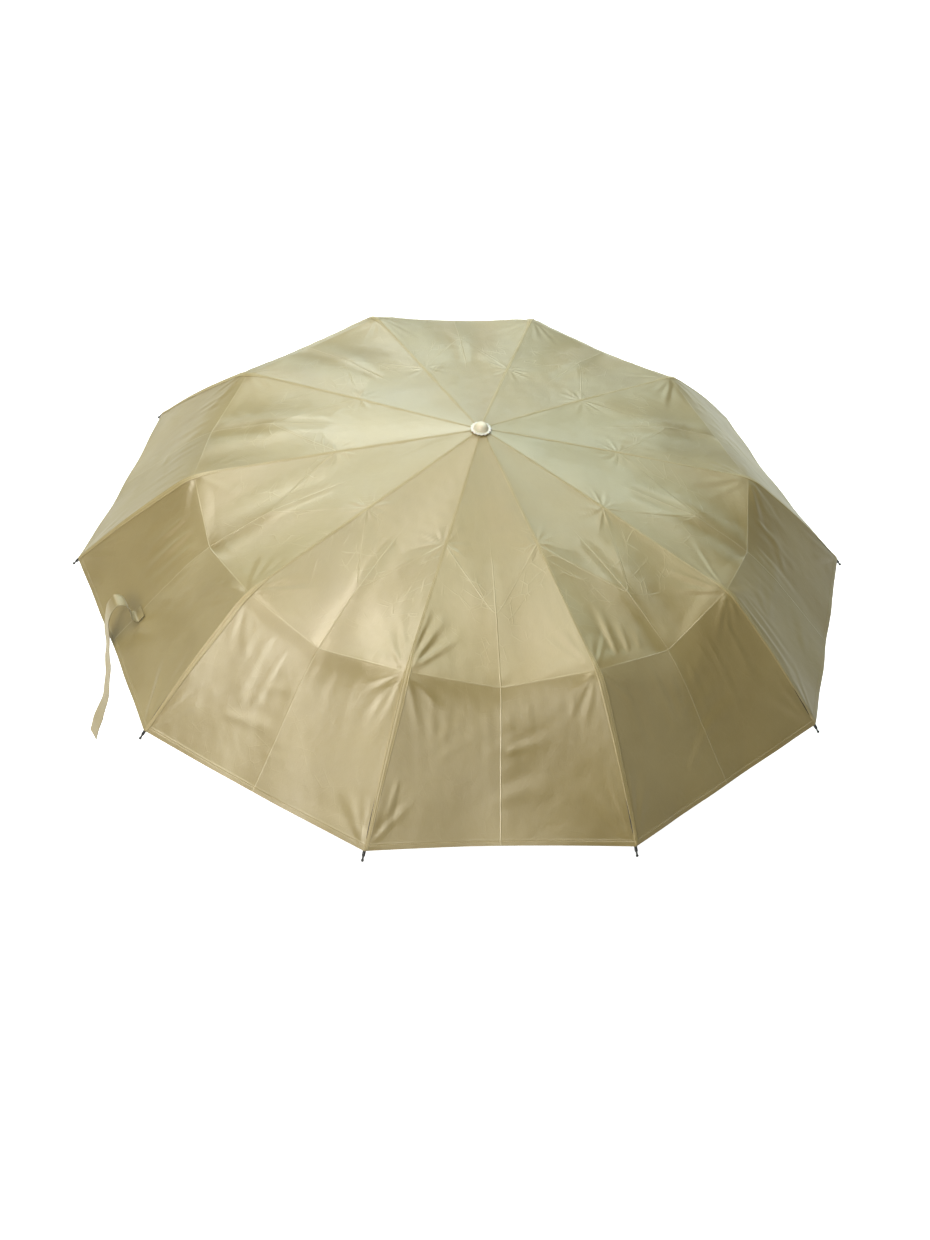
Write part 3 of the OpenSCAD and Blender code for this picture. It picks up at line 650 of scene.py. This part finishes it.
def seam(k, lo, hi, first, at):
    """The felled seam over rib k from tau lo to hi: a band sewn down on gore k's side. It isn't bent at tau at."""
    tau = np.linspace(lo, hi, SEAM_ROWS)
    across = np.array([-0.9, -0.6, 0.2, 1.4, 2.4, 3.6, 4.8, 5.6, 6.2])
    flat = np.array([-0.15, 0.15, 0.28, 0.20, 0.28, 0.28, 0.20, 0.26, 0.05])
    proud = np.array([-0.15, 0.35, 0.75, 0.55, 0.80, 0.85, 0.70, 1.00, 0.35])
    free = np.clip((tau - 1.85) / 0.15, 0, 1)[:, None]  # the flap stands off the outer panels
    ripple = 0.25 * np.sin(tau * 61 + k) * np.sin(tau * 23 + 2 * k)
    lift = flat * (1 - free) + (proud + np.clip(across, 0, None) * 0.08 * ripple[:, None]) * free
    rr, _ = rib_line(tau)
    full = np.interp(tau, [0, 0.4, 1, 1.8, 2.0, 2.2, 3.0], [0.25, 0.35, 0.38, 0.45, 1.1, 1.3, 0.65])
    T = np.repeat(tau[:, None], len(across), 1)
    y = across[None, :] * full[:, None]
    W = -1 + np.clip(y, 0, None) / (rr * math.sin(HALF))[:, None]
    p = to_frame(k, surface(k, T, W))
    n = to_frame(k, surface_normal(k, T, W, -1, 0.02))
    out_u, out_v = frame_of(k)
    p = p + np.clip(y, None, 0)[..., None] * (out_v * math.cos(0.25) + UP_Z * math.sin(0.25))
    p = p + n * lift[..., None]
    turn = np.cross(np.gradient(p, axis=0), np.gradient(p, axis=1))
    turn = turn / np.linalg.norm(turn, axis=-1, keepdims=True)
    turn = np.where(turn[..., 2:] < 0, -turn, turn)
    s = np.linalg.norm(np.diff(p[:, 3], axis=0, prepend=p[:1, 3]), axis=-1).cumsum() * MM
    S = np.repeat(s[:, None], len(across), 1)
    C = np.repeat(across[None, :], SEAM_ROWS, 0) * MM
    flat_map = np.stack([C, S], -1)
    pts, faces, index, normals, uvs = shell(p, turn, 0.3, {"cloth": flat_map, "edge": flat_map})
    ob = mesh(f"seam_{first.split('_')[0]}_{k:02d}", pts, faces, [seam_cloth, seam_cloth], index, normals, uvs)
    for tau in (at - 0.05, at + 0.05):
        rr, rz = rib_line(np.array(tau))
    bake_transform(ob)
    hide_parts("canopy")


for k in range(1, RIBS + 1):
    seam(k, 0.02, 1.5, f"top_rib_{k:02d}", 1.0)
    seam(k, 1.5, 2.992, f"middle_rib_{k:02d}", 2.0)

# ---------------------------------------------------------------- cap


def revolve(name, profile, material, count=96, radius=None):
    """A solid turned round the z axis from (r, z) points in mm. radius(angle, r) shapes the outline."""
    prof = np.array(profile, float)
    ang = np.linspace(0, 2 * math.pi, count, endpoint=False)
    pts = []
    for r, z in prof:
        rr = np.array([radius(a, r) if radius else r for a in ang])
        pts.append(np.stack([rr * np.cos(ang), rr * np.sin(ang), np.full(count, z)], -1))
    p = np.concatenate(pts)
    faces = []
    for i in range(len(prof) - 1):
        for j in range(count):
            q = (j + 1) % count
            faces.append((i * count + j, i * count + q, (i + 1) * count + q, (i + 1) * count + j))
    faces.append(tuple(range(count))[::-1])
    faces.append(tuple(range((len(prof) - 1) * count, len(prof) * count)))
    return mesh(name, p, faces, [material])


cap_mat = plastic(
    "cap_plastic", (0.60, 0.56, 0.43), 0.40, 900.0, 0.00003, 0.05,
    Subsurface_Weight=0.08, Subsurface_Scale=0.004, Coat_Weight=0.15,
)
ring_mat = plastic(
    "ring_plastic", (0.60, 0.59, 0.53), 0.32, 700.0, 0.00002, 0.04, Subsurface_Weight=0.1, Subsurface_Scale=0.003
)
lo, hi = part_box("cap")
base, crest, rim_r = lo.z / MM, hi.z / MM, (hi.x - lo.x) / 2 / MM
tall = crest - base - 0.8
dome = [(0.5, base), (rim_r - 0.35, base), (rim_r, base + 0.3), (rim_r, base + 0.65)]
for t in np.linspace(0.02, 1.0, 22):
    a = t * math.pi / 2
    dome.append((max(0.05, rim_r * math.cos(a) ** 0.62), base + 0.8 + tall * math.sin(a)))
cap = revolve("cap_dome", dome, cap_mat)
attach(cap, "top")
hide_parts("cap")
lo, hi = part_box("cap_ring")
petal_r, ring_lo, ring_hi = (hi.x - lo.x) / 2 / MM, lo.z / MM, hi.z / MM


def petals(a, r):
    """Scallops round the ring's edge, fading inwards."""
    return r * (1 - 0.11 * (1 - abs(math.cos(8 * a)) ** 0.7) * min(1, r / petal_r))


ring = revolve(
    "cap_ring_petals",
    [
        (6.0, ring_lo), (petal_r - 0.5, ring_lo), (petal_r, ring_lo + 0.4), (petal_r, ring_hi - 0.5),
        (petal_r - 0.45, ring_hi), (11.2, ring_hi + 0.05), (10.6, ring_hi - 0.2), (6.0, ring_hi - 0.2),
    ],
    ring_mat, 320, petals,
)
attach(ring, "top")
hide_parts("cap_ring")

# ---------------------------------------------------------------- tie strap

STRAP_GORE = 6
STRAP_W, TAPE_W = 20.0, 17.0
ACROSS = (0.05, 1.0, 0.02)


def ribbon(name, stations, width, thick, material, span=(0.0, 1.0), stand=0.0):
    """A flat band through stations of (centre, width direction), both in gore coordinates. span is the share of its
    length that is made, and stand how far it stands off the line on its face."""
    pts = np.array([s[0] for s in stations], float)
    dirs = np.array([s[1] for s in stations], float)
    t = np.concatenate([[0], np.linalg.norm(np.diff(pts, axis=0), axis=1).cumsum()])

    def curve(values, at):
        m = np.gradient(values, t, axis=0)
        i = np.clip(np.searchsorted(t, at, "right") - 1, 0, len(t) - 2)
        h = (t[i + 1] - t[i])[:, None]
        x = ((at - t[i]) / (t[i + 1] - t[i]))[:, None]
        return (
            values[i] * (2 * x**3 - 3 * x**2 + 1) + m[i] * h * (x**3 - 2 * x**2 + x)
            + values[i + 1] * (3 * x**2 - 2 * x**3) + m[i + 1] * h * (x**3 - x**2)
        )

    at = np.linspace(span[0] * t[-1], span[1] * t[-1], int(20 + 160 * (span[1] - span[0])))
    centre, side = curve(pts, at), curve(dirs, at)
    along = np.gradient(centre, axis=0)
    along /= np.linalg.norm(along, axis=1, keepdims=True)
    side -= (side * along).sum(1, keepdims=True) * along
    side /= np.linalg.norm(side, axis=1, keepdims=True)
    across = np.linspace(-0.5, 0.5, 13)
    face = np.cross(side, along)
    P = centre[:, None, :] + side[:, None, :] * across[None, :, None] * width
    free = np.clip((at - 14) / 20, 0, 1)[:, None]
    edge = 2 * across[None, :]
    ripple = free * (0.5 * np.sin(at / 8.0)[:, None] * edge + 0.4 * np.sin(at / 19.0 + 1)[:, None] * edge**2)
    P = P + face[:, None, :] * (ripple + stand)[..., None]
    N = np.cross(np.gradient(P, axis=1), np.gradient(P, axis=0))
    N /= np.linalg.norm(N, axis=-1, keepdims=True)
    C = np.repeat((across[None, :] + 0.5) * width * MM, len(at), 0)
    S = np.repeat(at[:, None] * MM, len(across), 1)
    P, N = to_frame(STRAP_GORE, P), to_frame(STRAP_GORE, N)
    flat_map = np.stack([C, S], -1)
    pts, faces, index, normals, uvs = shell(P, N, thick, {"cloth": flat_map, "edge": flat_map})
    ob = mesh(name, pts, faces, [material, material], index, normals, uvs)
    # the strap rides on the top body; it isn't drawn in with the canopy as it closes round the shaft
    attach(ob, "top")
    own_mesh(ob)
    return ob


def on_cloth(x, y, up):
    """A point up mm over the cloth of the strap's gore."""
    half = x * math.tan(HALF)
    taus = np.linspace(2, 3, 400)
    p = surface(STRAP_GORE, taus, np.full(len(taus), y / half))
    i = int(np.abs(p[:, 0] - x).argmin())
    return (x, y, float(p[i, 2]) + up)


strap_line = [
    (on_cloth(443.5, 2, 1.4), ACROSS), (on_cloth(447.5, 2, 1.4), ACROSS), (on_cloth(452, 2, 2.6), ACROSS),
    ((457.5, 2, 432), ACROSS), ((461.5, 2, 447), ACROSS), ((467.5, 1.5, 460), ACROSS),
    ((474.5, 1, 462.5), ACROSS), ((481.5, 0.5, 455), ACROSS), ((486.5, 0, 440), ACROSS),
    ((488.8, 0, 423), (0.02, 1, 0)), ((489.8, 0, 405), (0.0, 1, 0)), ((490.6, 0, 375), (0.02, 1, 0)),
    ((492.0, 0, 345), (-0.06, 1, 0)), ((494.5, 0, 318), (0.02, 1, 0)), ((499.5, 0, 290), (0.0, 1, 0)),
    ((506.5, 0, 269), (-0.05, 1, 0)), ((513.5, 0, 248.5), (-0.14, 1, 0)), ((518.5, 0, 227), (-0.16, 1, 0)),
]
strap = ribbon("tie_strap_band", strap_line, STRAP_W, 0.8, strap_cloth)
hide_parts("tie_strap")
patch = ribbon("strap_fastener_tape", strap_line, TAPE_W, 1.1, tape_mat, (0.87, 0.985), 1.25)
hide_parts("strap_fastener")

# ---------------------------------------------------------------- CAD nodes

for name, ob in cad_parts.items():
    if name == "handle_grip":
        use = ["grip_rubber"]
    elif name in ("handle_end_cap", "push_button", "runner", "crown", "lower_bush", "middle_bush"):
        use = ["black_plastic"]
    elif name in ("handle_collar", "button_bezel", "runner_pins", "crown_pins"):
        use = ["bright_metal"]
    elif name.endswith("_tube"):
        use = ["shaft_metal"]
    elif name.startswith("outer_rib"):
        use = ["rod_black", "tip_metal"]
    elif name.startswith(("top_rib", "stretcher", "middle_rib")):
        use = ["rib_metal"]
    else:
        continue
    for i, s in enumerate(ob.material_slots):
        s.material = mats[use[min(i, len(use) - 1)]]

# ---------------------------------------------------------------- stage and light


FLOOR = 6000.0  # half its side, mm
LAMP_DISTANCE = 3.6
CENTRE = Vector((0, 0, 0.5))


def stage_floor():
    corners = [(x * FLOOR, y * FLOOR, 0) for x, y in ((-1, -1), (1, -1), (1, 1), (-1, 1))]
    ob = mesh("floor", corners, [(0, 1, 2, 3)], [])
    g = Graph("floor_white", (0.93, 0.93, 0.93), 0.9)
    g.set("Emission Color", (1, 1, 1, 1))
    # brighter under the canopy, so that hardly a shadow shows, and far away, where the lamps don't reach
    distance = g.add("ShaderNodeVectorMath", {0: g.place()}, operation="LENGTH").outputs["Value"]
    near = g.remap(distance, 0.95, 1.6, 0.56, 0.0, True)
    away = g.remap(distance, 2.2, 4.2, 0.24, 0.97, True)
    g.to(g.math("ADD", near, away), "Emission Strength")
    ob.data.materials.append(g.mat)
    ob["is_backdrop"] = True


stage_floor()


def lamp(name, az, el, size, watts, color):
    """A round area light aimed at the middle of the umbrella, from an azimuth and an elevation in degrees."""
    a, e = math.radians(az), math.radians(el)
    light = bpy.data.lights.new(name, "AREA")
    light.shape, light.size, light.energy, light.color = "DISK", size, watts, color
    ob = bpy.data.objects.new(name, light)
    scene.collection.objects.link(ob)
    away = Vector((math.cos(e) * math.cos(a), math.cos(e) * math.sin(a), math.sin(e))) * LAMP_DISTANCE
    ob.location = CENTRE + away
    ob.rotation_euler = (-away).to_track_quat("-Z", "Y").to_euler()


# a warm key from the left, a broad front light, and cooler light from behind:
# (azimuth, elevation, size, watts, colour)
LIGHTS = {
    "key": (199, 61, 0.8, 35, (1.0, 0.92, 0.81)),
    "front": (235, 35, 1.6, 81, (1.0, 0.98, 0.90)),
    "left": (150, 60, 1.5, 27.5, (1.0, 0.95, 0.91)),
    "over": (0, 85, 2.0, 35, (1.0, 0.95, 0.77)),
    "back_left": (118, 40, 2.4, 36.5, (0.93, 1.0, 0.88)),
    "back": (90, 30, 2.4, 48, (0.80, 0.94, 1.0)),
    "back_right": (60, 40, 2.4, 42, (0.76, 1.0, 0.98)),
}
for name, facts in LIGHTS.items():
    lamp(name, *facts)

world = bpy.data.worlds.new("studio")
scene.world = world
world.use_nodes = True
tree = world.node_tree
sky = tree.nodes["Background"]
sky.inputs["Color"].default_value = (0.97, 1.0, 0.98, 1)
sky.inputs["Strength"].default_value = 0.05
pale = tree.nodes.new("ShaderNodeBackground")  # the backdrop seen past the floor is plain and pale
pale.inputs["Color"].default_value = (0.97, 0.97, 0.97, 1)
shown = tree.nodes.new("ShaderNodeMixShader")
tree.links.new(tree.nodes.new("ShaderNodeLightPath").outputs["Is Camera Ray"], shown.inputs[0])
tree.links.new(sky.outputs[0], shown.inputs[1])
tree.links.new(pale.outputs[0], shown.inputs[2])
tree.links.new(shown.outputs[0], tree.nodes["World Output"].inputs["Surface"])
scene.view_settings.view_transform = "Standard"
scene.view_settings.look = "None"

lo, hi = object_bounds()
